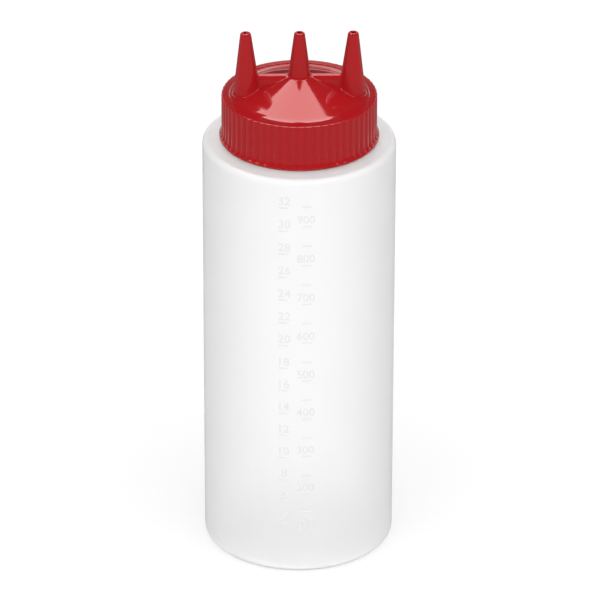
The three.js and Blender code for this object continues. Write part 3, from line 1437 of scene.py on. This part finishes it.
@dataclass(frozen=True)
class Camera:
    """The camera that the photograph was taken with."""

    focal_pixels: float = 5232.76
    image_pixels: float = 600.0
    sensor_width: float = 36.0
    distance: float = 2302.36
    pitch: float = 28.3
    roll: float = 0.139
    round_axis: float = -1.3
    target: tuple[float, float, float] = (0.495, 0.0, 114.468)

    def build(self) -> bpy.types.Object:
        """Make the camera and set it as the scene's camera.

        Returns:
            The camera object.
        """
        data = bpy.data.cameras.new("photo_camera")
        data.sensor_width = self.sensor_width
        data.lens = self.focal_pixels * self.sensor_width / self.image_pixels
        data.clip_end = 10.0
        pitch = math.radians(self.pitch)
        offset = Vector((0.0, -math.cos(pitch), math.sin(pitch))) * self.distance
        turn = Matrix.Rotation(math.radians(90.0 - self.pitch), 4, "X")
        roll = Matrix.Rotation(math.radians(self.roll), 4, "Z")
        camera = bpy.data.objects.new("photo_camera", data)
        yaw = Matrix.Rotation(math.radians(self.round_axis), 4, "Z")
        place = Matrix.Translation((Vector(self.target) + offset) * MM)
        camera.matrix_world = yaw @ place @ turn @ roll
        bpy.context.scene.collection.objects.link(camera)
        bpy.context.scene.camera = camera
        return camera


def stage_sheet(name: str, corners: list[tuple[float, float, float]],
                finish: bpy.types.Material) -> bpy.types.Object:
    """Add one flat face that isn't part of the object.

    Args:
        name: Name of the face.
        corners: Its corners in metres.
        finish: Its material.

    Returns:
        The object.
    """
    mesh = bpy.data.meshes.new(name)
    mesh.from_pydata(corners, [], [tuple(range(len(corners)))])
    mesh.materials.append(finish)
    sheet = bpy.data.objects.new(name, mesh)
    bpy.context.scene.collection.objects.link(sheet)
    return sheet


@dataclass(frozen=True)
class Studio:
    """A pale table in even light from the front, with a softbox above and behind.

    Pairs of levels belong to the two ends of the span of the same name: floor_turn along Y,
    light_turn along light_from, mirror_turn along Y, and horizon and sky along Z.
    """

    floor_size: float = 6.0
    floor_shown: tuple[float, float] = (0.25, 0.5)
    floor_bounce: float = 0.7
    floor_mirror: tuple[float, float] = (0.42, 0.04)
    floor_turn: tuple[float, float] = (0.2, 0.6)
    floor_glow: float = 0.5
    floor_through: float = 1.38
    light_from: tuple[float, float, float] = (0.0, -0.6, 0.8)
    light_turn: tuple[float, float] = (0.1, 0.95)
    light_levels: tuple[float, float] = (0.42, 1.645)
    mirror_turn: tuple[float, float] = (-0.2, 0.75)
    mirror_levels: tuple[float, float] = (0.12, 1.4)
    mirror_gap: float = 0.04
    horizon: tuple[float, float] = (-0.02, 0.06)
    sky: tuple[float, float] = (0.38, 0.44)
    box_elevation: float = 55.0
    box_distance: float = 1.6
    box_height: float = 0.22
    box_level: float = 6.0
    box_corners: tuple[tuple[float, float], ...] = (
        (-0.13, -0.22), (0.11, -0.22), (0.21, -0.05), (0.255, 0.12), (0.28, 0.2),
        (0.75, 0.35), (0.75, 0.7), (-0.85, 0.7), (-0.85, 0.35), (-0.42, 0.2),
        (-0.375, 0.02), (-0.25, -0.13))

    def floor(self) -> bpy.types.Object:
        """Lay the table, which is shown white and keeps the shadow.

        Glossy rays see it darken towards the back, where no light falls on it, and rays through
        the wall see it glow evenly.

        Returns:
            The floor.
        """
        material, nodes, shader = new_material("white_table", (1.0, 1.0, 1.0))
        shader["Roughness"].default_value = 0.9
        shader["Specular IOR Level"].default_value = 0.0
        shader["Emission Color"].default_value = (1.0, 1.0, 1.0, 1.0)
        path = nodes.add("ShaderNodeLightPath").outputs
        depth = nodes.parts(nodes.place())["Y"]
        mirror = nodes.ramp(depth, self.floor_mirror, self.floor_turn, gentle=True)
        bounced = nodes.mix(path["Is Glossy Ray"], self.floor_bounce, mirror)
        seen = nodes.mix(path["Is Camera Ray"], *self.floor_shown)
        shown = nodes.work_out("MAXIMUM", path["Is Camera Ray"], path["Is Transmission Ray"])
        nodes.feed(nodes.mix(shown, bounced, seen), shader["Base Color"])
        glow = nodes.work_out("MULTIPLY", path["Is Camera Ray"], self.floor_glow)
        glow = nodes.work_out("MULTIPLY_ADD", path["Is Transmission Ray"],
                              self.floor_through, glow)
        nodes.feed(glow, shader["Emission Strength"])
        half = self.floor_size / 2
        corners = [(-half, -half, 0.0), (half, -half, 0.0), (half, half, 0.0), (-half, half, 0.0)]
        return stage_sheet("floor", corners, material)

    def world(self) -> bpy.types.World:
        """Light the room, and show it white to the camera and through the wall.

        Diffuse rays see a room that is brightest above and in front. Glossy rays see a bright
        sweep low behind the object, with a dim room above it and in front.

        Returns:
            The world.
        """
        world = bpy.data.worlds.new("studio")
        world.use_nodes = True
        nodes = Nodes(world.node_tree)
        plain = world.node_tree.nodes["Background"]
        plain.inputs["Color"].default_value = (1.0, 1.0, 1.0, 1.0)
        path = nodes.add("ShaderNodeLightPath").outputs
        direction = nodes.place("Generated")
        parts = nodes.parts(direction)
        toward = nodes.add("ShaderNodeVectorMath", operation="DOT_PRODUCT")
        toward.inputs[1].default_value = self.light_from
        nodes.feed(direction, toward.inputs[0])
        lit = nodes.ramp(toward.outputs["Value"], self.light_levels, self.light_turn, gentle=True)
        behind = nodes.ramp(parts["Y"], self.mirror_levels, self.mirror_turn, gentle=True)
        low = nodes.ramp(parts["Z"], (1.0, self.mirror_gap), self.sky, gentle=True)
        rise = nodes.ramp(parts["Z"], (self.mirror_gap, 1.0), self.horizon, gentle=True)
        sweep = nodes.work_out("MULTIPLY", behind, nodes.work_out("MULTIPLY", rise, low))
        shown = nodes.work_out("MAXIMUM", path["Is Camera Ray"], path["Is Transmission Ray"])
        level = nodes.mix(shown, nodes.mix(path["Is Glossy Ray"], lit, sweep), 1.0)
        nodes.feed(level, plain.inputs["Strength"])
        bpy.context.scene.world = world
        return world

    def softbox(self) -> bpy.types.Object:
        """Hang the softbox that the cone mirrors, as a glowing cloth that faces the object.

        Its corners are given as tangents of the angles to the right of and above its middle.

        Returns:
            The softbox.
        """
        lift = math.radians(self.box_elevation)
        toward = np.array([0.0, math.cos(lift), math.sin(lift)])
        right, up = np.array([1.0, 0.0, 0.0]), np.array([0.0, -math.sin(lift), math.cos(lift)])
        spots = np.array(self.box_corners)
        points = (toward + spots[:, :1] * right + spots[:, 1:] * up) * self.box_distance
        material, _, shader = new_material("softbox_cloth", (0.0, 0.0, 0.0))
        shader["Specular IOR Level"].default_value = 0.0
        shader["Emission Color"].default_value = (1.0, 1.0, 1.0, 1.0)
        shader["Emission Strength"].default_value = self.box_level
        corners = points + np.array([0.0, 0.0, self.box_height])
        box = stage_sheet("softbox", corners.tolist(), material)
        box.visible_camera = box.visible_diffuse = box.visible_shadow = False
        box.visible_transmission = False
        return box

    def build(self) -> None:
        """Set up the floor, the world and the softbox."""
        for part in (self.floor, self.world, self.softbox):
            part()
        bpy.context.scene.view_settings.view_transform = "Standard"


def main() -> None:
    """Build the camera, the studio and the pieces."""
    logging.basicConfig(level=logging.INFO, format="%(message)s")
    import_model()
    Camera().build()
    Studio().build()
    Bottle().build(MilkyWall().build())
    # The marks are the wall's own plastic on real raised relief, with a darker colour that is
    # painted shade: the shade that the ticks and numerals show.
    marks_painted_shade_finish = MilkyWall(colour=(0.855, 0.857, 0.857), transmission=0.0)
    Graduations().build(marks_painted_shade_finish.build())
    SealRing().build(SoftSeal().build())
    ScrewCap().build(GlossyRed().build())


if __name__ == "__main__":
    main()
